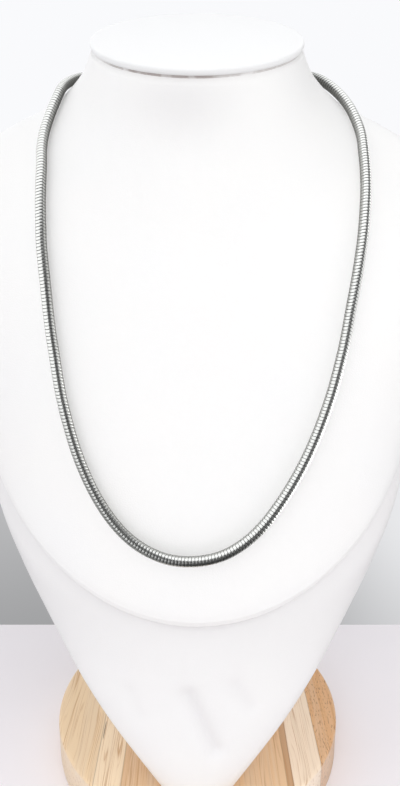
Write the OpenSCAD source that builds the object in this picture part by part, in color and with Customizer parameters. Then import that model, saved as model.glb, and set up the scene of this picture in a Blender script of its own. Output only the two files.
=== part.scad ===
// Snake chain necklace, worn by a covered neck bust that stands on a round wooden base.
// Millimetres, +Z up, the front faces -Y. The origin is the centre of the base's underside.

/* [Chain] */
// Outer diameter of the snake chain
chain_d = 4; // [3:0.1:6]
// Clearance between the chain and the bust that it lies on
chain_gap = 0.35; // [0.2:0.05:0.8]

/* [Clasp] */
// Outer diameter of the barrel clasp
clasp_d = 6.4; // [6:0.1:9]
// Length of the barrel clasp
clasp_l = 18; // [14:0.5:24]
// Depth of the socket at each end, which takes a chain end
socket_l = 5; // [3:0.5:6]
// Clearance round and behind a chain end in its socket
socket_gap = 0.2; // [0.1:0.05:0.3]
// Width of the chamfer round each end of the barrel
clasp_edge = 0.6; // [0.3:0.1:0.8]

/* [Bust] */
// Height from the foot to the neck's rim, measured at the side
bust_h = 283; // [255:1:310]
// Width over the shoulders
shoulder_w = 186; // [165:1:205]
// How far the chest reaches in front of the base's centre
chest_reach = 56.5; // [50:0.5:62]
// How far the back reaches behind the base's centre
back_reach = 40; // [36:0.5:44]

/* [Neck] */
// Diameter of the neck's round rim
neck_d = 77.5; // [70:0.5:86]
// Forward tilt of the rim, in degrees
neck_tilt = 28; // [24:0.5:32]
// How far the rim's centre lies behind the base's centre
neck_back = 5; // [2:0.5:8]

/* [Cap] */
// Thickness of the covered cap that closes the neck
cap_t = 2.2; // [1.6:0.1:4]
// Overhang of the cap past the neck's rim
cap_over = 0.6; // [0:0.1:1.5]
// Height of the dark seam between the neck and the cap
seam_gap = 0.4; // [0.2:0.1:0.9]
// Width of the chamfer round the cap's edge
cap_edge = 0.6; // [0.3:0.1:0.7]

/* [Base] */
// Diameter of the wooden base
base_d = 130; // [122:1:145]
// Thickness of the wooden base
base_t = 18; // [12:0.5:25]
// Width of the eased edges of the base
base_edge = 1.5; // [0.5:0.1:3]
// Clearance between the base and the bust's foot
foot_gap = 0.15; // [0.1:0.05:0.4]

/* [Hidden] */

// Sides of the bust's skin, and rings between two of its sections
SKIN_SIDES = 60;
RINGS_PER_SECTION = 4;
// Sides of the chain's tube, and its rings between the two ends of the route
CHAIN_SIDES = 12;
CHAIN_RINGS = 74;

// The bust's sections, from its foot to just under the neck's rim. Each is a leaning oval, low at the
// front and high at the back. Sections 7 and 8 lie close together: they are the bib's raised edge.
// Columns: height at the front, at the side and at the back (shares of bust_h); half width (share of
// half of shoulder_w, and share of half of neck_d); reach of the front (share of chest_reach) and of
// the back (share of back_reach); place of the widest point behind the base's centre (share of chest_reach).
FRONT_Z = 0;
SIDE_Z = 1;
BACK_Z = 2;
HALF_W = 3;
FRONT_Y = 4;
BACK_Y = 5;
WIDEST_Y = 6;
SECTIONS = [
    // front  side   back   shoulder neck  front  back   widest
    [0.000, 0.000, 0.000,  0.151, 0.00,  0.991, 0.350, -0.850],
    [0.078, 0.092, 0.120,  0.360, 0.00,  0.982, 0.550, -0.743],
    [0.127, 0.156, 0.226,  0.500, 0.00,  0.973, 0.650, -0.602],
    [0.159, 0.216, 0.318,  0.617, 0.00,  0.965, 0.700, -0.407],
    [0.191, 0.300, 0.420,  0.751, 0.00,  0.956, 0.725, -0.159],
    [0.219, 0.389, 0.509,  0.866, 0.00,  0.947, 0.730,  0.035],
    [0.247, 0.502, 0.590,  0.953, 0.00,  0.933, 0.740,  0.124],
    [0.267, 0.604, 0.657,  0.941, 0.00,  0.929, 0.750,  0.142],
    [0.279, 0.625, 0.675,  0.968, 0.00,  0.982, 0.758,  0.142],
    [0.300, 0.650, 0.696,  0.978, 0.00,  1.000, 0.762,  0.142],
    [0.396, 0.731, 0.756,  1.000, 0.00,  0.947, 0.770,  0.142],
    [0.502, 0.806, 0.813,  0.995, 0.00,  0.867, 0.780,  0.106],
    [0.594, 0.852, 0.859,  0.935, 0.00,  0.788, 0.825,  0.088],
    [0.682, 0.880, 0.901,  0.806, 0.00,  0.708, 0.875,  0.088],
    [0.770, 0.910, 0.954,  0.444, 0.43,  0.619, 0.950,  0.088],
    [0.853, 0.954, 1.007,  0.100, 0.925, 0.558, 0.990,  0.088]
];

// The chain's route over the skin, chosen by eye from one end of the clasp, round the front, to the
// other. Columns: turn round the bust (degrees, 0 at the front, + towards +X), section number, and
// lift of the chain off the skin (mm), which brings it up to the clasp.
ROUTE = [
    [-162, 14.51, 1.4],
    [-154, 14.51, 0.6],
    [-145, 14.52, 0.1],
    [-135, 14.53, 0],
    [-125, 14.52, 0],
    [-116, 14.48, 0],
    [-108, 14.46, 0],
    [-101, 14.47, 0],
    [-95, 14.48, 0],
    [-90, 14.43, 0],
    [-86, 14.34, 0],
    [-82, 14.24, 0],
    [-77, 14.10, 0],
    [-71, 13.96, 0],
    [-64, 13.81, 0],
    [-56, 13.54, 0],
    [-48, 13.17, 0],
    [-40, 12.59, 0],
    [-34, 11.87, 0],
    [-30, 11.18, 0],
    [-26, 10.63, 0],
    [-21, 10.21, 0],
    [-15, 9.92, 0],
    [-8, 9.78, 0],
    [-1, 9.76, 0],
    [6, 9.82, 0],
    [12, 9.98, 0],
    [17, 10.22, 0],
    [22, 10.53, 0],
    [26, 10.85, 0],
    [30, 11.26, 0],
    [34, 11.74, 0],
    [39, 12.28, 0],
    [46, 12.78, 0],
    [54, 13.18, 0],
    [63, 13.47, 0],
    [73, 13.70, 0],
    [82, 13.83, 0],
    [89, 13.96, 0],
    [95, 14.08, 0],
    [100, 14.18, 0],
    [106, 14.32, 0],
    [114, 14.46, 0],
    [124, 14.53, 0],
    [135, 14.54, 0],
    [145, 14.52, 0.1],
    [154, 14.51, 0.6],
    [162, 14.51, 1.4]
];
// Section number at which the clasp lies on the back of the neck
CLASP_LEVEL = 14.52;

// A smooth curve through the rows of a list, read at row number t
function along(list, t) =
    let (last = len(list) - 1,
         i = min(floor(max(t, 0)), last - 1),
         f = t - i,
         a = list[max(i - 1, 0)],
         b = list[i],
         c = list[i + 1],
         d = list[min(i + 2, last)])
    b + 0.5 * f * ((c - a) + f * ((2 * a - 5 * b + 4 * c - d) + f * (3 * b - a - 3 * c + d)));

// A section's row in millimetres
function sized(s) = [
    s[0] * bust_h,
    s[1] * bust_h,
    s[2] * bust_h,
    s[3] * shoulder_w / 2 + s[4] * neck_d / 2,
    s[5] * chest_reach,
    s[6] * back_reach,
    s[7] * chest_reach
];

// The neck's rim: a true circle, tilted forward
rim_rise = neck_d / 2 * sin(neck_tilt);
rim_reach = neck_d / 2 * cos(neck_tilt);
RIM = [bust_h - rim_rise, bust_h, bust_h + rim_rise, neck_d / 2, rim_reach - neck_back, rim_reach + neck_back, neck_back];
LOOPS = concat([for (s = SECTIONS) sized(s)], [RIM]);
TOP = len(LOOPS) - 1;
foot_z = base_t + foot_gap;

// The point of the bust's skin at a turn (degrees) and a section number. In front of the widest point
// the oval lies in one plane. Behind it, it bends down to the height of the back.
function skin(turn, level) =
    let (s = along(LOOPS, level),
         ahead = s[FRONT_Y] + s[WIDEST_Y],
         behind = s[BACK_Y] - s[WIDEST_Y],
         slope = (s[SIDE_Z] - s[FRONT_Z]) / ahead,
         sag = (s[SIDE_Z] + slope * behind - s[BACK_Z]) / (behind * behind),
         dy = -(cos(turn) > 0 ? ahead : behind) * cos(turn))
    [s[HALF_W] * sin(turn),
     s[WIDEST_Y] + dy,
     foot_z + s[SIDE_Z] + slope * dy - (dy > 0 ? sag * dy * dy : 0)];

function unit(v) = v / norm(v);

// The skin's outward direction
function outward(turn, level) =
    let (e = 0.05)
    unit(cross(skin(turn + 10 * e, level) - skin(turn - 10 * e, level),
               skin(turn, min(level + e, TOP)) - skin(turn, max(level - e, 0))));

// The clasp lies straight across the back of the neck
clasp_at = skin(180, CLASP_LEVEL) + outward(180, CLASP_LEVEL) * (clasp_d / 2 + chain_gap);
socket_d = chain_d + 2 * socket_gap;
mouth_x = clasp_l / 2;
end_x = mouth_x - socket_l + socket_gap;

// The chain's centre line along its route
function resting(t) =
    let (r = along(ROUTE, t))
    skin(r[0], r[1]) + outward(r[0], r[1]) * (chain_d / 2 + chain_gap + r[2]);

// Running length along the route, paired with the row number, so that the rings are evenly spaced
FINE = 12;
STEPS = (len(ROUTE) - 1) * FINE;
FINE_POINTS = [for (k = [0:STEPS]) resting(k / FINE)];
RUN = [for (k = 0, s = 0; k <= STEPS; s = s + (k < STEPS ? norm(FINE_POINTS[k + 1] - FINE_POINTS[k]) : 0), k = k + 1) [s, k / FINE]];
run_l = RUN[STEPS][0];
CHAIN_LINE = concat(
    [for (x = [end_x, mouth_x, mouth_x + chain_d / 4]) clasp_at - [x, 0, 0]],
    [for (k = [0:CHAIN_RINGS - 1]) resting(lookup(k * run_l / (CHAIN_RINGS - 1), RUN))],
    [for (x = [mouth_x + chain_d / 4, mouth_x, end_x]) clasp_at + [x, 0, 0]]
);

// Directions of the centre line, and a side direction carried along it without twisting
function heading(line, k) = unit(line[min(k + 1, len(line) - 1)] - line[max(k - 1, 0)]);
function squared(v, t) = unit(v - t * (v * t));
SIDEWAYS = [for (k = 0, v = [0, 0, 1]; k < len(CHAIN_LINE); k = k + 1, v = k < len(CHAIN_LINE) ? squared(v, heading(CHAIN_LINE, k)) : v)
    squared(v, heading(CHAIN_LINE, k))];

// A closed solid from stacked rings of points, its rings anticlockwise seen from the far end
module stacked(rings) {
    n = len(rings[0]);
    m = len(rings);
    polyhedron(
        points = [for (ring = rings) each ring],
        faces = concat(
            [[for (j = [0:n - 1]) j]],
            [for (i = [0:m - 2], j = [0:n - 1])
                [i * n + j, (i + 1) * n + j, (i + 1) * n + (j + 1) % n, i * n + (j + 1) % n]],
            [[for (j = [n - 1:-1:0]) (m - 1) * n + j]]
        ),
        convexity = 6
    );
}

module snake_chain() {
    color([0.72, 0.73, 0.72])
        stacked([for (k = [0:len(CHAIN_LINE) - 1])
            let (t = heading(CHAIN_LINE, k), v = SIDEWAYS[k], w = cross(t, v))
            [for (j = [0:CHAIN_SIDES - 1])
                let (a = 360 * j / CHAIN_SIDES)
                CHAIN_LINE[k] + chain_d / 2 * (v * cos(a) + w * sin(a))]]);
}

// The barrel: a plain turned piece with a blind socket at each end
module clasp() {
    half = [
        [0, 0],
        [clasp_d / 2, 0],
        [clasp_d / 2, clasp_l / 2 - clasp_edge],
        [clasp_d / 2 - clasp_edge, clasp_l / 2],
        [socket_d / 2, clasp_l / 2],
        [socket_d / 2, clasp_l / 2 - socket_l],
        [0, clasp_l / 2 - socket_l]
    ];
    color([0.75, 0.76, 0.76])
        translate(clasp_at)
            rotate([0, 90, 0])
                union() {
                    rotate_extrude($fn = 64) polygon(half);
                    mirror([0, 0, 1]) rotate_extrude($fn = 64) polygon(half);
                }
}

module bust_body() {
    color([0.96, 0.95, 0.94])
        stacked([for (k = [0:TOP * RINGS_PER_SECTION])
            [for (j = [0:SKIN_SIDES - 1])
                skin(360 * j / SKIN_SIDES, k / RINGS_PER_SECTION)]]);
}

module neck_cap() {
    cap_r = neck_d / 2 + cap_over;
    color([0.97, 0.96, 0.96])
        translate([0, neck_back, foot_z + bust_h])
            rotate([neck_tilt, 0, 0])
                translate([0, 0, seam_gap])
                    rotate_extrude($fn = 96)
                        polygon([
                            [0, 0],
                            [cap_r - cap_edge, 0],
                            [cap_r, cap_edge],
                            [cap_r, cap_t - cap_edge],
                            [cap_r - cap_edge, cap_t],
                            [0, cap_t]
                        ]);
}

module wood_base() {
    color([0.87, 0.74, 0.58])
        rotate_extrude($fn = 128)
            polygon([
                [0, 0],
                [base_d / 2 - base_edge, 0],
                [base_d / 2, base_edge],
                [base_d / 2, base_t - base_edge],
                [base_d / 2 - base_edge, base_t],
                [0, base_t]
            ]);
}

snake_chain();
clasp();
bust_body();
neck_cap();
wood_base();
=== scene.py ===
# %% [markdown]
# # A snake chain on its neck bust
#
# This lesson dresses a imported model: a round snake chain, its clasp, and the stand that wears it. The stand
# is a white neck bust with a lid on its neck and a round wooden base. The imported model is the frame. It says
# where every piece is and how large it is, so nothing here is moved or resized to fit.
#
# Each step has a few words on what the piece is. Then short cells of code build it and say what they made.

# %% Load the frame
import math

import bmesh
import bpy
import numpy as np
from mathutils import Matrix, Vector


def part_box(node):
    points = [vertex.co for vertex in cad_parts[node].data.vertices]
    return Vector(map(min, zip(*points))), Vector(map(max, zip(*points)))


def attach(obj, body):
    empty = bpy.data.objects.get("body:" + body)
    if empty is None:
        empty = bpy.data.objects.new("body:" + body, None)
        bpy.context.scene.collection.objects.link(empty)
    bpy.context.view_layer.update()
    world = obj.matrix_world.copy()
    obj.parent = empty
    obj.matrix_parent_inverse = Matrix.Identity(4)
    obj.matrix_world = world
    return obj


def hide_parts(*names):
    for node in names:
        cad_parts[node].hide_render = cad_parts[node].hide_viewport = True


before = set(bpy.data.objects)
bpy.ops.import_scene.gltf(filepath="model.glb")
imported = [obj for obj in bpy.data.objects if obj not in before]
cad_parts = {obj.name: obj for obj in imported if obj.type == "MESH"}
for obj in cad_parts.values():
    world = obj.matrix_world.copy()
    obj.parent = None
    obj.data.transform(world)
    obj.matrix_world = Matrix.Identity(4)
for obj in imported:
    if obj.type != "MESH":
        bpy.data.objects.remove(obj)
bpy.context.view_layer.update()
print("nodes in the frame:", sorted(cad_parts))

# %% [markdown]
# ## Millimetres
#
# Jewellery is measured in millimetres and Blender's unit is the metre. The sizes below are written in
# millimetres and become metres where a mesh is made or a thing is placed. Materials do the reverse: they
# turn the object's own coordinates into millimetres, so a noise of scale 2 has two clouds to a millimetre.

# %% Units and whole-mesh helpers
MM = 0.001


def size_of(node):
    """A CAD node's lowest and highest corner, in millimetres."""
    low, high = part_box(node)
    return np.array(low) / MM, np.array(high) / MM


def add_object(name, data):
    """An object of the scene that shows this mesh, light or camera."""
    made = bpy.data.objects.new(name, data)
    bpy.context.scene.collection.objects.link(made)
    return made


def add_mesh(name, points, faces, crease_angle=None):
    """A smooth shaded object from points in millimetres, with its faces turned outwards."""
    mesh = bpy.data.meshes.new(name)
    mesh.from_pydata((np.asarray(points, float) * MM).tolist(), [], faces)
    tidy = bmesh.new()
    tidy.from_mesh(mesh)
    bmesh.ops.recalc_face_normals(tidy, faces=tidy.faces)
    tidy.to_mesh(mesh)
    tidy.free()
    mesh.shade_smooth()
    if crease_angle is not None:
        mesh.set_sharp_from_angle(angle=math.radians(crease_angle))
    return add_object(name, mesh)


def bands(rows, count):
    """The faces between rings of points that lie one over the other."""
    faces = []
    for row in range(rows - 1):
        for j in range(count):
            a, b = row * count + j, row * count + (j + 1) % count
            faces.append((a, b, b + count, a + count))
    return faces


def add_stacked(name, rings, crease_angle=None):
    """A closed skin over rings of points. Each end is closed by a fan round its middle."""
    rings = np.asarray(rings, float)
    rows, count = rings.shape[:2]
    points = rings.reshape(-1, 3).tolist()
    faces = bands(rows, count)
    for row in (0, rows - 1):
        points.append(rings[row].mean(axis=0).tolist())
        pole = len(points) - 1
        faces += [(row * count + j, row * count + (j + 1) % count, pole) for j in range(count)]
    return add_mesh(name, points, faces, crease_angle)


def hand_over(piece, slot, *nodes):
    """The piece rides on the one body and stands for these CAD nodes. The slot is not used."""
    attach(piece, "root")
    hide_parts(*nodes)
    triangles = sum(len(face.vertices) - 2 for face in piece.data.polygons)
    print(f"{piece.name}: {triangles} triangles, stands for {', '.join(nodes)}")


# %% [markdown]
# ## Writing node trees in Python
#
# A material's pattern is arithmetic on sockets, and arithmetic reads best as arithmetic. `Number` wraps a
# socket so that `+`, `-`, `*`, `/` and `**` add the Math node for it. Every other node comes from
# `Tree.node`, which takes the node's type, its settings and what goes into its sockets. The geometry tree
# that lays out the chain's links and the room's own tree use the same method.

# %% Numbers and trees
class Number:
    """A number inside a node tree."""

    def __init__(self, tree, socket):
        self.tree = tree
        self.socket = socket

    def __add__(self, other):
        return self.tree.maths("ADD", self, other)

    def __sub__(self, other):
        return self.tree.maths("SUBTRACT", self, other)

    def __rsub__(self, other):
        return self.tree.maths("SUBTRACT", other, self)

    def __mul__(self, other):
        return self.tree.maths("MULTIPLY", self, other)

    def __truediv__(self, other):
        return self.tree.maths("DIVIDE", self, other)

    def __pow__(self, other):
        return self.tree.maths("POWER", self, other)

    __radd__ = __add__
    __rmul__ = __mul__


class Tree:
    """A node tree that is filled from Python."""

    def __init__(self, nodes_of):
        self.nodes_of = nodes_of

    def node(self, kind, settings=None, inputs=None):
        """A new node: its settings first, then the values or links of its sockets."""
        made = self.nodes_of.nodes.new(kind)
        for key, value in (settings or {}).items():
            setattr(made, key, value)
        for key, value in (inputs or {}).items():
            self.feed(made.inputs[key], value)
        return made

    def feed(self, socket, value):
        """Links a socket, or sets it to a constant."""
        source = value.socket if isinstance(value, Number) else value
        if isinstance(source, bpy.types.NodeSocket):
            self.nodes_of.links.new(source, socket)
        else:
            socket.default_value = source

    def maths(self, operation, *values):
        """One Math node."""
        made = self.node("ShaderNodeMath", {"operation": operation}, dict(enumerate(values)))
        return Number(self, made.outputs[0])

    def between(self, value, low, high, first=0.0, second=1.0):
        """The first number for values under low, the second for those over high, smooth between."""
        settings = {"interpolation_type": "SMOOTHSTEP"}
        sockets = {"Value": value, "From Min": low, "From Max": high, "To Min": first, "To Max": second}
        return Number(self, self.node("ShaderNodeMapRange", settings, sockets).outputs["Result"])


class Finish(Tree):
    """A material with a Principled shader, and the patterns that its colour and relief are made of."""

    def __init__(self, name, **constants):
        self.material = bpy.data.materials.new(name)
        self.material.use_nodes = True
        super().__init__(self.material.node_tree)
        self.shader = self.nodes_of.nodes["Principled BSDF"]
        for key, value in constants.items():
            self.shader.inputs[key.replace("_", " ")].default_value = value
        place = self.node("ShaderNodeTexCoord").outputs["Object"]
        self.place = self.vector("SCALE", place, Scale=1 / MM)

    def vector(self, operation, *values, **named):
        """One Vector Math node. Its result is a vector."""
        inputs = {**dict(enumerate(values)), **named}
        return self.node("ShaderNodeVectorMath", {"operation": operation}, inputs).outputs["Vector"]

    def axis(self, vector, letter):
        """One of a vector's three numbers."""
        return Number(self, self.node("ShaderNodeSeparateXYZ", {}, {0: vector}).outputs[letter])

    def noise(self, vector, scale, detail, roughness=0.5):
        """Soft noise from 0 to 1."""
        sockets = {"Vector": vector, "Scale": scale, "Detail": detail, "Roughness": roughness}
        return Number(self, self.node("ShaderNodeTexNoise", {}, sockets).outputs["Fac"])

    def blend(self, share, first, second):
        """Two colours mixed by a share from 0 to 1."""
        settings = {"data_type": "RGBA", "clamp_factor": True}
        return self.node("ShaderNodeMix", settings, {0: share, 6: first, 7: second}).outputs[2]

    def lay_over(self, colour, share, tone):
        """A colour with a tone over it. A tone is the most of it that shows, and its own colour."""
        most, own = tone
        return self.blend(share * most, colour, (*own, 1))

    def ramp(self, value, stops, interpolation):
        """A colour for each value from 0 to 1. A stop is a place and its colour."""
        made = self.node("ShaderNodeValToRGB", {}, {"Fac": value})
        ramp = made.color_ramp
        while len(ramp.elements) < len(stops):
            ramp.elements.new(0.5)
        for element, (place, colour) in zip(ramp.elements, stops):
            element.position = place
            element.color = (*colour, 1.0)
        ramp.interpolation = interpolation
        return made.outputs["Color"]

    def attribute(self, name):
        """A number that the mesh stores at its points."""
        return Number(self, self.node("ShaderNodeAttribute", {"attribute_name": name}).outputs["Fac"])

    def relief(self, height, depth):
        """Raises the surface by height, from 0 to 1, times a depth in millimetres."""
        sockets = {"Height": height, "Distance": depth * MM, "Strength": 1.0}
        self.feed(self.shader.inputs["Normal"], self.node("ShaderNodeBump", {}, sockets).outputs["Normal"])

    def paint(self, **sockets):
        """Feeds the shader's sockets that vary over the surface."""
        for key, value in sockets.items():
            self.feed(self.shader.inputs[key.replace("_", " ")], value)

    def done(self):
        """The finished material."""
        print(f"{self.material.name}: {len(self.nodes_of.nodes)} nodes")
        return self.material


# %% [markdown]
# ## The bust's form
#
# The stand is a moulded core under a thin white leatherette cover. It is narrow at its foot, leans out to
# broad shoulders and closes in a round neck that tilts forward. A sculptor would draw it as a few contour
# lines. So does this table: sixteen leaning ovals from the foot to the neck, with their lengths as shares
# of the bust's own sizes, and a smooth curve runs through each column. The same ovals shape the CAD solid,
# so the cover lies on it, and the chain's route can be given as places on the skin.

# %% The bust's sizes and sections
base_low, base_high = size_of("wood_base")
base_d = base_high[0] - base_low[0]
base_t = base_high[2]
# As in the CAD model, in millimetres.
foot_gap = 0.15     # between the base and the bust's foot
bust_h = 283        # from the foot to the middle of the neck's rim
shoulder_w = 186
chest_reach = 56.5  # what the front's shares are of
back_reach = 40     # what the back's shares are of
neck_d = 77.5
neck_tilt = math.radians(28)
neck_back = 5       # how far behind the base's middle the neck's middle lies

FRONT_Z, SIDE_Z, BACK_Z, HALF_W, FRONT_Y, BACK_Y, WIDEST_Y = range(7)
SECTIONS = np.array([
    # front  side   back   shoulder neck  front  back   widest
    [0.000, 0.000, 0.000, 0.151, 0.00, 0.991, 0.350, -0.850],
    [0.078, 0.092, 0.120, 0.360, 0.00, 0.982, 0.550, -0.743],
    [0.127, 0.156, 0.226, 0.500, 0.00, 0.973, 0.650, -0.602],
    [0.159, 0.216, 0.318, 0.617, 0.00, 0.965, 0.700, -0.407],
    [0.191, 0.300, 0.420, 0.751, 0.00, 0.956, 0.725, -0.159],
    [0.219, 0.389, 0.509, 0.866, 0.00, 0.947, 0.730, 0.035],
    [0.247, 0.502, 0.590, 0.953, 0.00, 0.933, 0.740, 0.124],
    [0.267, 0.604, 0.657, 0.941, 0.00, 0.929, 0.750, 0.142],
    [0.279, 0.625, 0.675, 0.968, 0.00, 0.982, 0.758, 0.142],
    [0.300, 0.650, 0.696, 0.978, 0.00, 1.000, 0.762, 0.142],
    [0.396, 0.731, 0.756, 1.000, 0.00, 0.947, 0.770, 0.142],
    [0.502, 0.806, 0.813, 0.995, 0.00, 0.867, 0.780, 0.106],
    [0.594, 0.852, 0.859, 0.935, 0.00, 0.788, 0.825, 0.088],
    [0.682, 0.880, 0.901, 0.806, 0.00, 0.708, 0.875, 0.088],
    [0.770, 0.910, 0.954, 0.444, 0.43, 0.619, 0.950, 0.088],
    [0.853, 0.954, 1.007, 0.100, 0.925, 0.558, 0.990, 0.088],
])
foot_z = base_t + foot_gap
rim_rise = neck_d / 2 * math.sin(neck_tilt)
rim_reach = neck_d / 2 * math.cos(neck_tilt)
RIM = [bust_h - rim_rise, bust_h, bust_h + rim_rise, neck_d / 2,
       rim_reach - neck_back, rim_reach + neck_back, neck_back]
heights = SECTIONS[:, :3] * bust_h
half_widths = SECTIONS[:, 3:4] * shoulder_w / 2 + SECTIONS[:, 4:5] * neck_d / 2
reaches = SECTIONS[:, 5:8] * [chest_reach, back_reach, chest_reach]
LOOPS = np.vstack([np.hstack([heights, half_widths, reaches]), RIM])
TOP = len(LOOPS) - 1
print(f"{len(LOOPS)} ovals, from {foot_z:.2f} to {foot_z + bust_h + rim_rise:.1f} mm")


# %% Reading the form at any place
def along(rows, t):
    """A smooth curve through the rows of a table, read at row number t, a number or an array."""
    rows = np.asarray(rows, float)
    t = np.asarray(t, float)
    last = len(rows) - 1
    i = np.clip(np.floor(t).astype(int), 0, last - 1)
    f = (t - i)[..., None]
    a, b, c, d = (rows[np.clip(i + k, 0, last)] for k in (-1, 0, 1, 2))
    return b + 0.5 * f * ((c - a) + f * ((2 * a - 5 * b + 4 * c - d) + f * (3 * b - a - 3 * c + d)))


def skin(turn, level):
    """The bust's skin at a turn, in degrees from the front, and a section number."""
    s = along(LOOPS, level)
    turn = np.radians(turn)
    ahead = s[..., FRONT_Y] + s[..., WIDEST_Y]
    behind = s[..., BACK_Y] - s[..., WIDEST_Y]
    slope = (s[..., SIDE_Z] - s[..., FRONT_Z]) / ahead
    sag = (s[..., SIDE_Z] + slope * behind - s[..., BACK_Z]) / behind**2
    dy = -np.where(np.cos(turn) > 0, ahead, behind) * np.cos(turn)
    rise = s[..., SIDE_Z] + slope * dy - np.where(dy > 0, sag * dy**2, 0)
    return np.stack([s[..., HALF_W] * np.sin(turn), s[..., WIDEST_Y] + dy, foot_z + rise], axis=-1)


def unit(vectors):
    """The vectors at a length of one."""
    return vectors / np.linalg.norm(vectors, axis=-1, keepdims=True)


def outward(turn, level):
    """The direction that the skin faces."""
    step = 0.05         # sections, or tens of degrees
    turn = np.asarray(turn, float)
    level = np.asarray(level, float)
    round_it = skin(turn + 10 * step, level) - skin(turn - 10 * step, level)
    up_it = skin(turn, np.minimum(level + step, TOP)) - skin(turn, np.maximum(level - step, 0))
    return unit(np.cross(round_it, up_it))


# %% [markdown]
# ## The leatherette cover
#
# The cover is pulled over the core and glued, so it is smooth, with a few tells. The bib's edge is a soft
# roll with a thin shadow under it. The foot and the neck's rim are turned over a small radius. The lower
# front has faint dents where the core shows through. All of these are low relief on the same skin: each is
# a hill or a valley, added outwards. It could be sculpted, but a formula stays where the ovals put it.

# %% Relief of the cover
BIB = 7.55          # section number of the bib's edge
# Relief along the bib's edge. Columns: height in millimetres, then its place above the edge and its width,
# both in section numbers.
ROLL = (0.30, 0.42, 0.30)       # the rolled edge
CREASE = (-0.90, -0.35, 0.28)   # the dip under the roll
PRESSED = (-0.10, 1.15, 0.10)   # the core's own edge, pressed through the cover of the front
# Faint dents of the lower front. Columns: x and height of the upper end, x and height of the lower end,
# width and depth, all in millimetres.
DENTS = [
    [-3, 66, 7, 42, 3.2, 1.4],
    [14, 70, 20, 60, 3.0, 0.6],
    [-26, 66, -22, 56, 3.0, 0.35],
]


def hill(distance, width):
    """1 at no distance, falling off softly to 0 a few widths away."""
    return np.exp(-((distance / width) ** 2))


def dent_depth(points, row):
    """How deep a dent is at points of the front."""
    x0, z0, x1, z1, width, depth = row
    span = np.array([x1 - x0, z1 - z0])
    offset = points[..., [0, 2]] - [x0, z0]
    share = np.clip(offset @ span / (span @ span), 0, 1)
    away = np.linalg.norm(offset - share[..., None] * span, axis=-1)
    return depth * hill(away, width) * (points[..., 1] < 0)


def along_bib(level, row):
    """Relief that follows the bib's edge, in millimetres."""
    height, place, width = row
    return height * hill(level - BIB - place, width)


def cover(turn, level):
    """The skin with the cover's relief."""
    turn, level = np.broadcast_arrays(turn, level)
    points = skin(turn, level)
    front = 0.5 + 0.5 * np.cos(np.radians(turn))
    rise = along_bib(level, ROLL) + along_bib(level, CREASE) + front * along_bib(level, PRESSED)
    for row in DENTS:
        rise = rise - dent_depth(points, row)
    return points + outward(turn, level) * rise[..., None]


# %% Build the cover
COVER_SIDES = 168
NEAR_BIB = (6.75, 8.6)      # the sections round the bib's edge, where the rings lie closer
RINGS = 10          # rings to a section
RINGS_NEAR_BIB = 32
EDGE_R = 0.9        # radius over which the cover turns at the foot and at the rim, mm
EDGE_STEPS = 4
below, above = np.arange(0, NEAR_BIB[0], 1 / RINGS), np.arange(NEAR_BIB[1], TOP, 1 / RINGS)
levels = np.concatenate([below, np.arange(*NEAR_BIB, 1 / RINGS_NEAR_BIB), above, [TOP]])
turns = np.arange(COVER_SIDES) * 360 / COVER_SIDES


def turned_over(ring, away):
    """Rings that lead from an edge over a quarter round towards the ring's middle."""
    middle = ring.mean(axis=0)
    inward = unit(middle - ring)
    rings = []
    for angle in np.linspace(0, math.pi / 2, EDGE_STEPS + 1):
        rings.append(ring + inward * EDGE_R * (1 - math.cos(angle)) + away * EDGE_R * math.sin(angle))
    return rings


rings = list(cover(turns[None, :], levels[:, None]))
rim_up = np.array([0, -math.sin(neck_tilt), math.cos(neck_tilt)])
foot_rings = turned_over(rings[0] + [0, 0, EDGE_R], np.array([0, 0, -1.0]))[::-1]
rim_rings = turned_over(rings[-1] - rim_up * EDGE_R, rim_up)
cover_rings = np.array(foot_rings + rings[1:-1] + rim_rings)
bust_cover = add_stacked("bust_cover", cover_rings)
print(f"the cover has {len(cover_rings)} rings of {COVER_SIDES} points")

# %% Where shade is painted on the cover
BIB_SHADE_SPAN = (0.15, 0.45)    # painted shade under the bib: starts so far above the bib's edge and is full so much lower, sections
FOOT_SHADE_SHARE = 0.25    # how much of that painted shade is left at the foot
THROAT_SHADE = (7, 24, 15.6, 0.42)    # painted shade at the throat, under the lid: degrees to the left, half width, level, half height
THROAT_SHADE_SHARE = 0.9
DENT_SHADE = 0.4     # painted shade in a dent of one millimetre
# Painted shade, stored at the cover's points: under the bib, at the throat under the lid, and in the dents.
ring_levels = np.pad(levels[1:-1], (len(foot_rings), len(rim_rings)), constant_values=(0, TOP))[:, None]
below_edge = np.clip((BIB + BIB_SHADE_SPAN[0] - ring_levels) / BIB_SHADE_SPAN[1], 0, 1)
up_the_bust = np.clip(ring_levels / BIB, 0, 1) ** 2
shade_under_bib = below_edge * (FOOT_SHADE_SHARE + (1 - FOOT_SHADE_SHARE) * up_the_bust)
from_throat = (turns[None, :] + 180 + THROAT_SHADE[0]) % 360 - 180
throat = hill(from_throat, THROAT_SHADE[1]) * hill(ring_levels - THROAT_SHADE[2], THROAT_SHADE[3])
dented = sum(dent_depth(cover_rings, row) for row in DENTS)
painted_shade = np.zeros(len(bust_cover.data.vertices), np.float32)
painted_shade[: dented.size] = (shade_under_bib + THROAT_SHADE_SHARE * throat + DENT_SHADE * dented).ravel()
bust_cover.data.attributes.new("painted_shade", "FLOAT", "POINT").data.foreach_set("value", painted_shade)
hand_over(bust_cover, "bust_body", "bust_body")


# %% Leatherette
WHITE_WARM = (0.915, 0.905, 0.890, 1)
WHITE_COOL = (0.890, 0.892, 0.890, 1)
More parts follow.
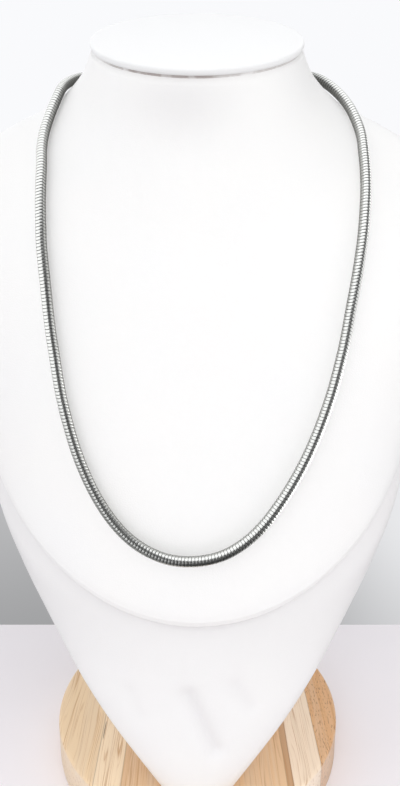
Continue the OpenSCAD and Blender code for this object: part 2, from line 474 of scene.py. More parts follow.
# The grey of the painted shade.
PAINTED_SHADE_GREY = (0.79, 0.78, 0.78, 1)
PEBBLES = 1.1       # pebbles of the pressed grain to a millimetre
PEBBLE_EDGE = 0.22  # share of a pebble over which its edge falls off
GRAIN_DEPTH = 0.022     # mm


def leatherette(name, warm, cool):
    """White leatherette: fine pressed grain and the faintest clouds. It has painted shade in the dents, and
    under the bib and at the throat."""
    finish = Finish(name, Roughness=0.5, Specular_IOR_Level=0.35)
    clouds = finish.noise(finish.place, 0.03, detail=1.0)
    pores = finish.node("ShaderNodeTexVoronoi", {"feature": "DISTANCE_TO_EDGE"},
                        {"Vector": finish.place, "Scale": PEBBLES, "Randomness": 0.9})
    pebble = finish.between(Number(finish, pores.outputs["Distance"]), 0.0, PEBBLE_EDGE)
    fine = finish.noise(finish.place, 2.6, detail=3.0)
    finish.relief(pebble * 0.7 + fine * 0.3, GRAIN_DEPTH)
    # Painted shade: the stored share greys the white under the bib, at the throat and in the dents.
    painted_shade = finish.attribute("painted_shade") * (0.85 + 0.3 * clouds)
    colour = finish.blend(painted_shade, finish.blend(clouds, warm, cool), PAINTED_SHADE_GREY)
    finish.paint(Base_Color=colour, Roughness=0.44 + 0.12 * fine)
    return finish.done()


bust_cover.data.materials.append(leatherette("white_leatherette", WHITE_WARM, WHITE_COOL))

# %% [markdown]
# ## The neck's lid
#
# The neck is closed by a thin disc with the same cover, glued on with a narrow seam. The seam shows as a
# thin dark line: a brown disc in the gap, a little back from both edges, is painted shade for it, and pale
# patches break the line in places. A disc is a turned shape: a half outline, spun round its axis. The
# outline has a small radius at both edges, and a low crown from the wadding under the cover.

# %% Turned shapes
def rounded(outline, radii, steps=5):
    """An outline of (radius, height) corners, with a quarter round of its own radius at each corner."""
    chord = 0.1         # share of the straight chord in the bow
    outline = np.asarray(outline, float)
    points = [outline[0]]
    for k in range(1, len(outline) - 1):
        before = unit(outline[k - 1] - outline[k])
        after = unit(outline[k + 1] - outline[k])
        reach = radii[k - 1]
        if reach == 0:
            points.append(outline[k])
            continue
        start = outline[k] + before * reach
        end = outline[k] + after * reach
        for share in np.linspace(0, 1, steps + 1):
            straight = start + (end - start) * share
            bowed = outline[k] + (before * (1 - share) ** 2 + after * share**2) * reach
            points.append(straight * chord + bowed * (1 - chord))
    return np.array(points + [outline[-1]])


def add_turned(name, outline, place, sides, crease_angle=None):
    """A closed turned piece. The outline starts and ends near its axis, and place puts it in the frame."""
    angles = np.arange(sides) * 2 * math.pi / sides
    rings = []
    for radius, height in outline:
        ring = np.stack([radius * np.cos(angles), radius * np.sin(angles), np.full(sides, height)], axis=-1)
        rings.append([place @ Vector(point) for point in ring])
    return add_stacked(name, rings, crease_angle)


# %% The lid and its seam
# As in the CAD model, in millimetres.
seam_gap = 0.4
lid_t = 2.2
lid_over = 0.6      # the lid's overhang over the neck
lid_r = neck_d / 2 + lid_over

AXIS_R = 0.5        # the first ring round the axis; the fan inside it closes the piece
LID_EDGE = 0.8      # radius of the lid's edge, mm
LID_CROWN = 0.5     # rise of the lid's middle, mm
LID_SLOPE = (9, 0.75)       # width of the slope inside the edge, mm, and its share of that rise
SLOPE_R = 4         # radius where the slope meets the crown, mm
SEAM_DISC_BACK = 0.35     # how far the disc of painted seam shade lies behind the neck's edge, mm
SEAM_DISC_SHIFT = (0, -0.2, 0)    # it sits a touch towards the front, mm
SEAM_DISC_IN = 0.5        # how far it reaches into the neck and into the lid, mm
lid_place = (Matrix.Translation((0, neck_back, foot_z + bust_h)) @ Matrix.Rotation(neck_tilt, 4, "X")
             @ Matrix.Translation((0, 0, seam_gap)))
slope_top = [lid_r - LID_SLOPE[0], lid_t + LID_CROWN * LID_SLOPE[1]]
lid_corners = [[AXIS_R, 0], [lid_r, 0], [lid_r, lid_t], slope_top, [AXIS_R, lid_t + LID_CROWN]]
neck_lid = add_turned("neck_lid", rounded(lid_corners, [LID_EDGE, LID_EDGE, SLOPE_R]), lid_place, 128)
hand_over(neck_lid, "neck_cap", "neck_cap")
neck_lid.data.materials.append(leatherette("white_leatherette_lid", WHITE_COOL, WHITE_COOL))

seam_disc_r = neck_d / 2 - SEAM_DISC_BACK
seam_disc_low, seam_disc_high = -seam_gap - SEAM_DISC_IN, SEAM_DISC_IN
seam_disc_corners = [[AXIS_R, seam_disc_low], [seam_disc_r, seam_disc_low], [seam_disc_r, seam_disc_high], [AXIS_R, seam_disc_high]]
seam_disc_place = lid_place @ Matrix.Translation(SEAM_DISC_SHIFT)
# A brown disc in the seam gap: painted shade for the seam's dark line.
lid_board = add_turned("lid_board", seam_disc_corners, seam_disc_place, 96, crease_angle=40)
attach(lid_board, "root")
print(f"lid_board: {2 * seam_disc_r:.1f} mm across, stands for no node")

# %% Painted seam shade
SEAM_SHADE_BROWNS = ((0.38, 0.33, 0.32, 1), (0.54, 0.49, 0.47, 1))
SEAM_BREAK_PALE = (0.90, 0.89, 0.88, 1)
# Where pale patches break the painted seam shade. Columns: x where that starts and where it is full, in
# millimetres, and how much of the shade it takes away.
SEAM_BREAKS = [[-28, -37, 1.0], [-22, -24, 0.35], [4, 8, 0.55]]
SEAM_BREAK_DABS = 0.4          # how much of the painted shade the pale dabs that lie anywhere take away


def seam_shade_finish():
    """Painted seam shade: a brown disc edge, pale in places where the line breaks."""
    finish = Finish("seam_shade_finish", Roughness=0.9)
    brown = finish.blend(finish.noise(finish.place, 3.0, detail=3.0), *SEAM_SHADE_BROWNS)
    x = finish.axis(finish.place, "X")
    seam_break = SEAM_BREAK_DABS * finish.between(finish.noise(finish.place, 0.25, detail=1.0), 0.52, 0.66)
    for start, full, share in SEAM_BREAKS:
        seam_break = seam_break + share * finish.between(x, start, full)
    # Brown is painted shade for the seam; the pale patches break the line.
    finish.paint(Base_Color=finish.blend(seam_break, brown, SEAM_BREAK_PALE))
    return finish.done()


lid_board.data.materials.append(seam_shade_finish())

# %% [markdown]
# ## The wooden base
#
# A turned disc of edge-glued strips. The strips run front to back, each from another plank, so their tones
# differ from one to the next: pale, straw, pinkish tan. The strips' edges are charted across the disc, as
# with a ruler, and the grain inside a strip is noise stretched along the plank. The turned edge is a little
# paler than the top.

# %% The disc
BASE_EDGE = 1.6     # radius of its eased edges, mm
disc_outline = rounded([[AXIS_R, 0], [base_d / 2, 0], [base_d / 2, base_t], [AXIS_R, base_t]],
                       [BASE_EDGE, BASE_EDGE])
wood_disc = add_turned("wood_disc", disc_outline, Matrix.Identity(4), 160)
hand_over(wood_disc, "wood_base", "wood_base")

# %% Edge-glued wood
# The strips from left to right. Columns: right edge in millimetres from the middle, colour.
STRIPS = [
    [-42.3, (0.84, 0.63, 0.40)],
    [-31.0, (0.92, 0.73, 0.51)],
    [-14.0, (0.74, 0.50, 0.30)],
    [9.0, (0.80, 0.59, 0.38)],
    [36.5, (0.80, 0.53, 0.31)],
    [39.0, (0.55, 0.31, 0.15)],
    [52.0, (0.94, 0.76, 0.58)],
    [66.0, (0.72, 0.41, 0.20)],
]
# Tones over the strips. Columns: the most of it that shows, colour.
BROAD_GRAIN = (0.35, (0.78, 0.63, 0.47))
DARK_GRAIN = (0.75, (0.48, 0.23, 0.08))
FLECKS = (0.7, (0.33, 0.16, 0.07))
GLUE_LINES = (0.45, (0.30, 0.18, 0.10))
CRACKED = (0.7, (0.12, 0.07, 0.04))
TURNED_EDGE = (0.3, (0.96, 0.88, 0.82))
FLECKED_FROM = (51.5, 52.5)     # x where the flecks set in, on the last strip, mm
GLUE_W = 0.25       # width of the dark glue lines, mm
CRACK = (-41.6, -20.0)      # middle of a short crack at a strip's edge
CRACK_HALF = (0.3, 6.0)     # its half width and half length, mm
WOOD_RELIEF = 0.06  # depth of the grain and of the crack, mm


def edge_glued_wood():
    """Strips side by side, with broad grain, dark grain lines, flecks, glue lines and one crack."""
    finish = Finish("edge_glued_wood", Roughness=0.45, Specular_IOR_Level=0.4)
    x = finish.axis(finish.place, "X")
    y = finish.axis(finish.place, "Y")
    half_w = STRIPS[-1][0]
    stops = [[0.0, STRIPS[0][1]]]
    stops += [[(right + half_w) / (2 * half_w), after[1]] for (right, _), after in zip(STRIPS, STRIPS[1:])]
    strips = finish.ramp((x + half_w) / (2 * half_w), stops, "CONSTANT")
    drift = finish.vector("MULTIPLY", finish.place, (1.0, 0.012, 0.25))
    wavy = finish.vector("MULTIPLY", finish.place, (0.25, 0.02, 0.1))
    bend = finish.noise(wavy, 1.0, detail=1.0)
    grain_place = finish.node("ShaderNodeCombineXYZ", {}, {
        "X": finish.axis(drift, "X") + bend * 5.0,
        "Y": finish.axis(drift, "Y"),
        "Z": finish.axis(drift, "Z"),
    }).outputs[0]
    broad = finish.between(finish.noise(grain_place, 0.35, detail=2.0), 0.35, 0.75)
    lines = finish.noise(grain_place, 2.4, detail=3.0, roughness=0.6)
    dark_lines = finish.between(lines, 0.50, 0.72)
    fleck_place = finish.vector("MULTIPLY", finish.place, (1.5, 0.32, 0.6))
    flecks = finish.between(finish.noise(fleck_place, 1.3, detail=1.0), 0.57, 0.68)
    flecks = flecks * finish.between(x, *FLECKED_FROM)
    glue = 0.0
    for right, _ in STRIPS[:-1]:
        near = finish.maths("ABSOLUTE", x - right)
        glue = glue + (1 - finish.between(near, GLUE_W / 2, GLUE_W))
    off_x = (x - CRACK[0]) / CRACK_HALF[0]
    off_y = (y - CRACK[1]) / CRACK_HALF[1]
    crack = 1 - finish.between(off_x * off_x + off_y * off_y, 0.5, 1.0)
    edge = 1 - finish.between(finish.axis(finish.place, "Z"), base_t - BASE_EDGE, base_t - BASE_EDGE + 1)
    colour = finish.lay_over(strips, dark_lines, DARK_GRAIN)
    colour = finish.lay_over(colour, broad, BROAD_GRAIN)
    colour = finish.lay_over(colour, flecks, FLECKS)
    colour = finish.lay_over(colour, glue, GLUE_LINES)
    colour = finish.lay_over(colour, crack, CRACKED)
    colour = finish.lay_over(colour, edge, TURNED_EDGE)
    finish.paint(Base_Color=colour, Roughness=0.40 + 0.18 * lines)
    finish.relief(1 - dark_lines * 0.6 - crack, WOOD_RELIEF)
    return finish.done()


wood_disc.data.materials.append(edge_glued_wood())

# %% [markdown]
# ## The chain's route
#
# The chain hangs in one loop over the bust: down both sides of the neck, over the shoulders and round the
# chest. Its route was chosen as places on the bust's skin, so wherever the form goes the chain lies on it.
# The list is the one that shapes the chain in CAD. The two ends go into the clasp, which lies straight
# across the back of the neck.

# %% Places along the route
clasp_low, clasp_high = size_of("clasp")
clasp_d = clasp_high[2] - clasp_low[2]
clasp_l = clasp_high[0] - clasp_low[0]
# As in the CAD model, in millimetres.
chain_d = 4
chain_gap = 0.35    # from the skin to the chain
socket_l = 5        # depth of the clasp's sockets
socket_gap = 0.2    # round the chain in a socket, and behind its end
CLASP_LEVEL = 14.52     # section number of the clasp's middle
# Columns: turn round the bust, section number, lift off the skin in millimetres.
ROUTE = [
    [-162, 14.51, 1.4], [-154, 14.51, 0.6], [-145, 14.52, 0.1], [-135, 14.53, 0], [-125, 14.52, 0],
    [-116, 14.48, 0], [-108, 14.46, 0], [-101, 14.47, 0], [-95, 14.48, 0], [-90, 14.43, 0],
    [-86, 14.34, 0], [-82, 14.24, 0], [-77, 14.10, 0], [-71, 13.96, 0], [-64, 13.81, 0],
    [-56, 13.54, 0], [-48, 13.17, 0], [-40, 12.59, 0], [-34, 11.87, 0], [-30, 11.18, 0],
    [-26, 10.63, 0], [-21, 10.21, 0], [-15, 9.92, 0], [-8, 9.78, 0], [-1, 9.76, 0],
    [6, 9.82, 0], [12, 9.98, 0], [17, 10.22, 0], [22, 10.53, 0], [26, 10.85, 0],
    [30, 11.26, 0], [34, 11.74, 0], [39, 12.28, 0], [46, 12.78, 0], [54, 13.18, 0],
    [63, 13.47, 0], [73, 13.70, 0], [82, 13.83, 0], [89, 13.96, 0], [95, 14.08, 0],
    [100, 14.18, 0], [106, 14.32, 0], [114, 14.46, 0], [124, 14.53, 0], [135, 14.54, 0],
    [145, 14.52, 0.1], [154, 14.51, 0.6], [162, 14.51, 1.4],
]
FINE = 12           # points between two rows of the route
clasp_at = skin(180, CLASP_LEVEL) + outward(180, CLASP_LEVEL) * (clasp_d / 2 + chain_gap)
mouth_x = clasp_l / 2
end_x = mouth_x - socket_l + socket_gap

places = along(ROUTE, np.arange((len(ROUTE) - 1) * FINE + 1) / FINE)
facing = outward(places[:, 0], places[:, 1])
resting = skin(places[:, 0], places[:, 1]) + facing * (chain_d / 2 + chain_gap + places[:, 2])[:, None]
in_clasp = [[x, 0, 0] for x in (end_x, mouth_x, mouth_x + chain_d / 4)]
route_points = np.vstack([clasp_at - in_clasp, resting, clasp_at + in_clasp[::-1]])
route_facing = np.vstack([[facing[0]] * 3, facing, [facing[-1]] * 3])
chain_l = np.linalg.norm(np.diff(route_points, axis=0), axis=1).sum()
print(f"chain {chain_l:.1f} mm, loop {chain_l + 2 * end_x:.1f} mm with the clasp")

# %% [markdown]
# ## One link
#
# A round snake chain is a tube of nested links. Each link is a short band with a flat crown. One edge is
# drawn in and sits inside its neighbour, so the chain bends without opening, and the other has a narrow
# bevel. From outside, one sees a stack of low ribs. Stamping leaves each edge a little wavy, four crests
# round the chain, which keeps the ribs from looking ruled.
#
# There are hundreds of them, so the link is lean: six points to a wave and four rings. The edges of its
# crown are sharp. So the crowns together mirror like one smooth tube, and every groove cuts a fine line
# across it.

# %% Shape of a link
LINK_PITCH = 1.2    # from one link to the next, mm
WAVES = 4
WAVE_H = 0.10       # height of a crest over the mean, mm
LINK_SIDES = 24
# The band's profile. Columns: place along the chain as a share of the pitch, radius as a share of the
# chain's radius, and how far out of the groove it lies.
BAND = [
    [-0.62, 0.78, 0.0],
    [-0.40, 0.945, 0.9],
    [0.24, 0.955, 1.0],
    [0.42, 0.925, 0.25],
]


def add_link():
    """One link round the Z axis, its first crest towards +X."""
    points, crown = [], []
    for place, radius, out in BAND:
        for j in range(LINK_SIDES):
            angle = 2 * math.pi * j / LINK_SIDES
            r = radius * chain_d / 2
            height = place * LINK_PITCH + WAVE_H * math.cos(WAVES * angle)
            points.append([r * math.cos(angle), r * math.sin(angle), height])
            crown.append(out)
    mesh = bpy.data.meshes.new("link")
    mesh.from_pydata((np.array(points) * MM).tolist(), [], bands(len(BAND), LINK_SIDES))
    mesh.shade_smooth()
    mesh.set_sharp_from_angle(angle=math.radians(20))
    mesh.attributes.new("crown", "FLOAT", "POINT").data.foreach_set("value", crown)
    return add_object("link", mesh)


link = add_link()
print(f"one link: {len(link.data.polygons)} faces")


# %% [markdown]
# ## Laying the links out
#
# Geometry Nodes repeat the link. The route is a line of points that carries one extra fact, the direction
# away from the bust, so that every link can be turned the same way to it. The tree makes the line a curve,
# spaces points evenly on it, stands a link on each, keeps a random tone for each link, and makes it all
# real. Then it stores how far each point faces away from the bust, for the finish to use.

# %% A tree that lays links along a line
def links_tree():
    """The tree as a node group."""
    group = bpy.data.node_groups.new("links_along_a_line", "GeometryNodeTree")
    tree = Tree(group)
    takes = {
        "Line": "Geometry", "Link": "Object", "Links": "Int", "Twist per link": "Float",
        "First turn": "Float", "Finish": "Material", "Seed": "Int",
    }
    for label, kind in takes.items():
        group.interface.new_socket(label, in_out="INPUT", socket_type=f"NodeSocket{kind}")
    group.interface.new_socket("Chain", in_out="OUTPUT", socket_type="NodeSocketGeometry")
    given = tree.node("NodeGroupInput").outputs
    curve = tree.node("GeometryNodeMeshToCurve", {}, {"Mesh": given["Line"]})
    spaced = tree.node("GeometryNodeResampleCurve", {}, {
        "Curve": curve.outputs["Curve"], "Count": given["Links"]})
    away = tree.node("GeometryNodeInputNamedAttribute", {"data_type": "FLOAT_VECTOR"}, {"Name": "away"})
    heading = tree.node("GeometryNodeInputTangent")
    stand = tree.node("FunctionNodeAxesToRotation", {"primary_axis": "Z", "secondary_axis": "X"}, {
        "Primary Axis": heading.outputs["Tangent"], "Secondary Axis": away.outputs["Attribute"]})
    index = Number(tree, tree.node("GeometryNodeInputIndex").outputs["Index"])
    turn = Number(tree, given["First turn"]) + index * given["Twist per link"]
    spin = tree.node("FunctionNodeAxisAngleToRotation", {}, {"Axis": (0, 0, 1), "Angle": turn})
    turned = tree.node("FunctionNodeRotateRotation", {"rotation_space": "LOCAL"}, {
        "Rotation": stand.outputs["Rotation"], "Rotate By": spin.outputs["Rotation"]})
    shape = tree.node("GeometryNodeObjectInfo", {}, {"Object": given["Link"], "As Instance": True})
    placed = tree.node("GeometryNodeInstanceOnPoints", {}, {
        "Points": spaced.outputs["Curve"], "Instance": shape.outputs["Geometry"],
        "Rotation": turned.outputs["Rotation"]})
    chance = tree.node("FunctionNodeRandomValue", {"data_type": "FLOAT"}, {"Seed": given["Seed"]})
    toned = tree.node("GeometryNodeStoreNamedAttribute", {"data_type": "FLOAT", "domain": "INSTANCE"}, {
        "Geometry": placed.outputs["Instances"], "Name": "tone", "Value": chance.outputs[1]})
    real = tree.node("GeometryNodeRealizeInstances", {}, {"Geometry": toned.outputs["Geometry"]})
    normal = tree.node("GeometryNodeInputNormal")
    facing = tree.node("ShaderNodeVectorMath", {"operation": "DOT_PRODUCT"}, {
        0: normal.outputs["Normal"], 1: away.outputs["Attribute"]})
    faced = tree.node("GeometryNodeStoreNamedAttribute", {"data_type": "FLOAT", "domain": "POINT"}, {
        "Geometry": real.outputs["Geometry"], "Name": "facing", "Value": facing.outputs["Value"]})
    dressed = tree.node("GeometryNodeSetMaterial", {}, {
        "Geometry": faced.outputs["Geometry"], "Material": given["Finish"]})
    tree.node("NodeGroupOutput", {}, {"Chain": dressed.outputs["Geometry"]})
    return group


# %% Polished steel
STEEL = (0.68, 0.685, 0.66)
GLANCING = (0.75, 0.75, 0.74, 1)        # tint of its mirror at a flat angle
CONTACT_SHADE = (0.05, 0.05, 0.045, 1)     # painted shade on the side that lies against the bust
GROOVE_SHADE_AND_LIGHT = (0.32, 1.15)     # grooves beside the crowns: painted shade near the neck, painted light low down
GROOVE_LIGHT_BELOW = (175, 265)     # heights between which the grooves' painted light fades out, mm
SHINE = 0.65        # how much of the steel is polished; the rest is fine scratches
CONTACT_SHADE_FACING = (-0.45, 0.75)      # how far a point faces away from the bust: painted contact shade below the first, none above
CONTACT_SHADE_MOST = 0.8   # how much of the painted shade shows there
GROOVE_LIGHT_OFF = 0.75     # how much of the painted contact shade the grooves' painted light takes off


def polished_steel(name, colour, roughness):
    """Steel in two shares: one has fine scratches that spread the light, the other mirrors sharply. So the
    chain has crisp streaks and still shows its ribs. The grooves have painted shade near the neck and painted
    light low down, and the side that lies against the bust has painted shade, less of it in the grooves low
    down."""
    finish = Finish(name, Metallic=1.0)
    crown = finish.attribute("crown")
    tone = finish.attribute("tone")
    scuffs = finish.noise(finish.place, 0.8, detail=3.0)
    # Painted shade in the grooves near the neck, and painted light in them low down.
    dark, bright = (tuple(part * groove for part in colour) for groove in GROOVE_SHADE_AND_LIGHT)
    groove_light = 1 - finish.between(finish.axis(finish.place, "Z"), *GROOVE_LIGHT_BELOW)
    grooves = finish.blend(groove_light, (*dark, 1), (*bright, 1))
    clean = finish.blend(finish.between(crown, 0.15, 0.85), grooves, (*colour, 1))
    # Painted contact shade on the side that faces the bust.
    behind = 1 - finish.between(finish.attribute("facing"), *CONTACT_SHADE_FACING)
    behind = behind * (CONTACT_SHADE_MOST - GROOVE_LIGHT_OFF * groove_light * (1 - crown))
    steel = finish.blend(behind, clean, CONTACT_SHADE)
    finish.paint(Base_Color=steel, Roughness=0.30 + 0.1 * scuffs)
    mirror = finish.node("ShaderNodeBsdfPrincipled", {}, {
        "Base Color": steel, "Metallic": 1.0, "Specular Tint": GLANCING,
        "Roughness": roughness + 0.04 * tone + 0.04 * scuffs + 0.1 * (1 - crown)})
    mixed = finish.node("ShaderNodeMixShader", {}, {
        0: SHINE, 1: finish.shader.outputs[0], 2: mirror.outputs[0]})
    output = finish.nodes_of.nodes["Material Output"]
    finish.feed(output.inputs["Surface"], mixed.outputs[0])
    return finish.done()


chain_steel = polished_steel("polished_steel", STEEL, 0.10)

# %% Lay the chain
TWIST = -35         # how far the chain has turned on its axis from one end to the other, degrees
FIRST_TURN = 10     # turn of the first link, degrees
TONE_SEED = 7


def lay_chain():
    """The tree run on the route, then kept as a plain mesh."""
    line = bpy.data.meshes.new("route")
    edges = [(k, k + 1) for k in range(len(route_points) - 1)]
    line.from_pydata((route_points * MM).tolist(), edges, [])
    away = line.attributes.new("away", "FLOAT_VECTOR", "POINT")
    away.data.foreach_set("vector", route_facing.ravel())
    laid = add_object("route", line)
    count = round(chain_l / LINK_PITCH) + 1
    tree = links_tree()
    modifier = laid.modifiers.new("links", "NODES")
    modifier.node_group = tree
    sizes = {
        "Link": link, "Links": count, "Twist per link": math.radians(TWIST) / count,
        "First turn": math.radians(FIRST_TURN), "Finish": chain_steel, "Seed": TONE_SEED,
    }
    for socket in tree.interface.items_tree:
        if socket.name in sizes:
            modifier[socket.identifier] = sizes[socket.name]
    ready = laid.evaluated_get(bpy.context.evaluated_depsgraph_get())
    mesh = bpy.data.meshes.new_from_object(ready)
    mesh.name = "snake_links"
    chain = add_object("snake_links", mesh)
    bpy.data.objects.remove(laid)
    bpy.data.objects.remove(link)
    print(f"{count} links, {chain_l / (count - 1):.3f} mm apart")
    return chain


snake_links = lay_chain()
hand_over(snake_links, "snake_chain", "snake_chain")

# %% [markdown]
# ## The clasp
#
# The clasp hides behind the neck, so it is a plain one: a barrel that the two ends of the chain go into. It
# is turned from bar, with a fine groove near each end and one round its middle, and its face is brushed
# round, which a bump of thin rings shows.

# %% The barrel
GROOVE = 0.25       # depth of the grooves, mm
GROOVE_W = 0.5
GROOVE_FLOOR_W = 0.2
GROOVE_IN = 3       # from an end to the groove near it, mm
CLASP_EDGE = 0.6    # radius of the barrel's ends, mm
MOUTH_EDGE = 0.15   # radius of the sockets' mouths, mm
socket_d = chain_d + 2 * socket_gap
clasp_r = clasp_d / 2
half_l = clasp_l / 2
floor_h = half_l - socket_l


def grooved(middle):
    """The four corners of a groove in the barrel's wall."""
    floor_r = clasp_r - GROOVE
    return [[clasp_r, middle - GROOVE_W / 2], [floor_r, middle - GROOVE_FLOOR_W / 2],
            [floor_r, middle + GROOVE_FLOOR_W / 2], [clasp_r, middle + GROOVE_W / 2]]


barrel_corners = [[AXIS_R, -floor_h], [socket_d / 2, -floor_h], [socket_d / 2, -half_l], [clasp_r, -half_l]]
barrel_corners += grooved(GROOVE_IN - half_l) + grooved(0) + grooved(half_l - GROOVE_IN)
barrel_corners += [[clasp_r, half_l], [socket_d / 2, half_l], [socket_d / 2, floor_h], [AXIS_R, floor_h]]
corner_radii = [0, MOUTH_EDGE, CLASP_EDGE] + [0] * 12 + [CLASP_EDGE, MOUTH_EDGE, 0]
clasp_place = Matrix.Translation(clasp_at) @ Matrix.Rotation(math.pi / 2, 4, "Y")
barrel_clasp = add_turned("barrel_clasp", rounded(barrel_corners, corner_radii), clasp_place, 64, 35)
hand_over(barrel_clasp, "clasp", "clasp")

# %% Brushed steel
BRUSHED = ((0.60, 0.61, 0.60, 1), (0.74, 0.75, 0.74, 1))
BRUSHING = (9.0, 0.15, 0.15)    # fine along the barrel, long round it
BRUSH_DEPTH = 0.015     # mm


def brushed_steel():
    """Satin steel with thin rings round the barrel."""
    finish = Finish("brushed_steel", Metallic=1.0)
    brushing = finish.noise(finish.vector("MULTIPLY", finish.place, BRUSHING), 1.0, detail=3.0)
    finish.paint(Base_Color=finish.blend(brushing, *BRUSHED), Roughness=0.25 + 0.15 * brushing)
    finish.relief(brushing, BRUSH_DEPTH)
    return finish.done()


barrel_clasp.data.materials.append(brushed_steel())

# %% [markdown]
# ## The stage
#
# A pale board to stand on, in front of plain air. White on white needs care: one broad panel in front keeps
# the bust white, and two weaker ones at the sides let its form show.
#
# Polished steel has no look of its own and mirrors the room, so the room is part of the work. Its walls are
# pale, it is grey ahead, bright overhead and dim below, and a round chain turns that into streaks. A dark
# card beside the camera draws the line down each leg, and a strip of light low on the right puts a white
# edge beside it.
#
# The soft panels light only the white and wooden pieces and the board, and take shade only from those. A
# thin chain has next to no shade in a room full of windows, but it would have a hard one under three
# panels.

# %% Board and dark card
BOARD_W = 1600      # width of the pale board, mm
BOARD_T = 14
BOARD_Y = (-300, 82)        # its front edge, and its back edge behind the base, mm
CARD = (56, 460)    # width and height of the dark card, mm
CARD_AT = (67, -323, 250)
SQUARE = ((-1, -1), (1, -1), (1, 1), (-1, 1))     # corners, in halves of the sides


def matt(name, colour):
    """A plain matt finish with the faintest clouds."""
    finish = Finish(name, Roughness=0.9)
    clouds = finish.noise(finish.place, 0.02, detail=2.0)
    darker = tuple(part * 0.97 for part in colour)
    finish.paint(Base_Color=finish.blend(clouds, (*colour, 1), (*darker, 1)))
    return finish.done()


board_points = [[side * BOARD_W / 2, BOARD_Y[depth > 0], z] for z in (0, -BOARD_T)
                for side, depth in SQUARE]
board_faces = [(0, 1, 2, 3), (7, 6, 5, 4), (0, 4, 5, 1), (1, 5, 6, 2), (2, 6, 7, 3), (3, 7, 4, 0)]
pale_board = add_mesh("pale_board", board_points, board_faces, 30)
pale_board.data.materials.append(matt("pale_board", (0.92, 0.885, 0.91)))
pale_board.visible_glossy = False   # the chain mirrors the room's dim floor instead

# Only mirrored light meets the card.
card_points = [[CARD_AT[0] + side * CARD[0] / 2, CARD_AT[1], CARD_AT[2] + rise * CARD[1] / 2]
               for side, rise in SQUARE]
dark_card = add_mesh("dark_card", card_points, [(0, 1, 2, 3)])
dark_card.data.materials.append(matt("dark_card", (0.03, 0.03, 0.03)))
dark_card.visible_camera = False
dark_card.visible_diffuse = False
dark_card.visible_shadow = False
print(f"a board {BOARD_W} mm wide and a dark card {CARD[0]} by {CARD[1]} mm, both stage")


# %% Soft panels and strip
CHEST = (0, -30, 190)
# All turned to the chest. Columns: name, place and size in millimetres, strength in watts.
PANELS = [
    ["front", (90, -620, 420), (900, 700), 2.85],
    ["key_left", (-520, -300, 520), (400, 500), 0.4],
    ["fill_right", (560, -260, 420), (400, 500), 1.0],
]


def add_panel(name, place, target, size, strength, lights_only):
    """A soft light panel that faces its target and lights only these pieces."""
    light = bpy.data.lights.new(name, "AREA")
    light.shape = "RECTANGLE"
    light.size, light.size_y = size[0] * MM, size[1] * MM
    light.energy = strength
    panel = add_object(name, light)
    panel.location = Vector(place) * MM
    panel.rotation_euler = (Vector(target) - Vector(place)).to_track_quat("-Z", "Y").to_euler()
    panel.visible_camera = False
    panel.light_linking.receiver_collection = lights_only
    panel.light_linking.blocker_collection = lights_only


bust_and_base = bpy.data.collections.new("lit by the soft panels")
for piece in (bust_cover, neck_lid, lid_board, wood_disc, pale_board):
    bust_and_base.objects.link(piece)
for name, place, size, strength in PANELS:
    add_panel(name, place, CHEST, size, strength, bust_and_base)
chain_only = bpy.data.collections.new("lit by the strip")
chain_only.objects.link(snake_links)
add_panel("strip", (330, 20, 30), (40, -70, 170), (300, 260), 0.8, chain_only)
print(f"{len(PANELS)} soft panels, and a strip that only the chain sees")


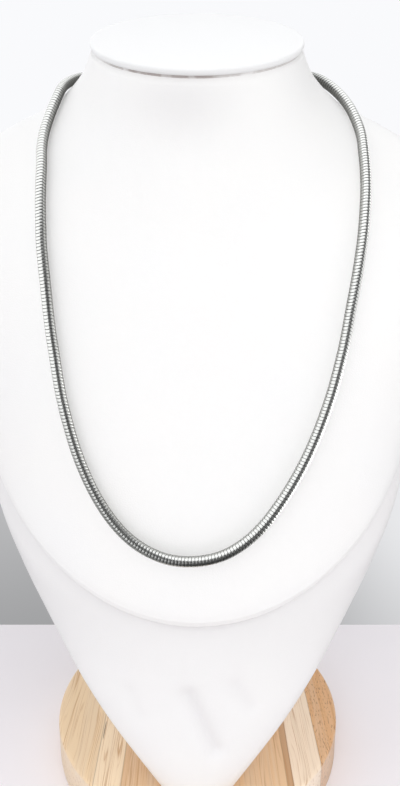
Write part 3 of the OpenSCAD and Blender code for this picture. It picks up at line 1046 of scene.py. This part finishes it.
# %% The room's air
def add_room(grey, left, right_side, overhead, floor, seen_up, seen_down, seen_right):
    """The air of the room. The camera sees a backdrop: pale above and greyer below, most of all on the left,
    which is painted shade. Mirrored light sees the room at full strength, and all other light at half."""
    world = bpy.data.worlds.new("room")
    bpy.context.scene.world = world
    world.use_nodes = True
    room = Tree(world.node_tree)
    between = room.between
    look = room.node("ShaderNodeTexCoord").outputs["Generated"]
    parts = room.node("ShaderNodeSeparateXYZ", {}, {0: look})
    right, back, up = (Number(room, parts.outputs[letter]) for letter in "XYZ")
    level = (right * right + back * back) ** 0.5

    def towards(azimuth):
        """1 in this direction, in degrees from straight ahead to the right, and -1 away from it."""
        angle = math.radians(azimuth)
        return (right * math.sin(angle) - back * math.cos(angle)) / level

    # The walls: grey ahead, dim towards the floor, and duller high on the right.
    walls = between(right, -1.0, 1.0, left, right_side)
    walls = walls + (grey - walls) * between(towards(25), 0.78, 0.93)
    walls = walls * between(up, -0.6, -0.1, floor, 1.0)
    walls = walls * (1 - 0.75 * between(right, 0.35, 0.65) * between(up, 0.2, 0.45))
    lit = walls + (overhead - walls) * between(up, 0.55, 0.85) * between(right, 0.75, 0.45)
    # What the camera sees: low down, with painted shade that is darker at the very bottom, and above.
    low = between(right, 0.08, 0.34, seen_down, seen_right)
    low = low * between(up, -0.60, -0.42, 0.88, 1.14)
    seen = low + (seen_up - low) * between(up, -0.50, 0.1)
    ray = room.node("ShaderNodeLightPath").outputs
    straight = Number(room, ray["Is Camera Ray"])
    mirrored = Number(room, ray["Is Glossy Ray"])
    air = world.node_tree.nodes["Background"]
    room.feed(air.inputs["Strength"], lit * (0.5 + 0.5 * mirrored) * (1 - straight) + seen * straight)
    air.inputs["Color"].default_value = (0.975, 0.98, 1.0, 1)
    print(f"{world.name}: {len(world.node_tree.nodes)} nodes")


add_room(grey=0.20, left=1.6, right_side=1.1, overhead=1.7, floor=0.18,
         seen_up=0.975, seen_down=0.41, seen_right=0.74)

# %% [markdown]
# ## The camera
#
# The camera stands close and looks slightly down, as someone's eyes would at a counter. Being close, it sees
# the shoulders wide and the foot narrow, which is part of how this bust looks.

# %% Camera
FRAME_H = 786       # height of the picture, pixels
FOCAL = 620         # focal length, pixels
SENSOR = 36         # mm
PITCH = math.radians(14.8)
CAMERA_AT = (1.1, -250.3, 235.2)
lens = bpy.data.cameras.new("camera")
lens.sensor_width = SENSOR
lens.lens = FOCAL / FRAME_H * SENSOR
lens.clip_start = 0.01
lens.clip_end = 20
camera = add_object("camera", lens)
camera.location = Vector(CAMERA_AT) * MM
camera.rotation_euler = (math.pi / 2 - PITCH, 0, 0)
bpy.context.scene.camera = camera
bpy.context.scene.view_settings.view_transform = "Standard"
bpy.context.view_layer.update()
print(f"camera {-camera.location.y / MM:.0f} mm in front, looking down {math.degrees(PITCH):.1f} degrees")
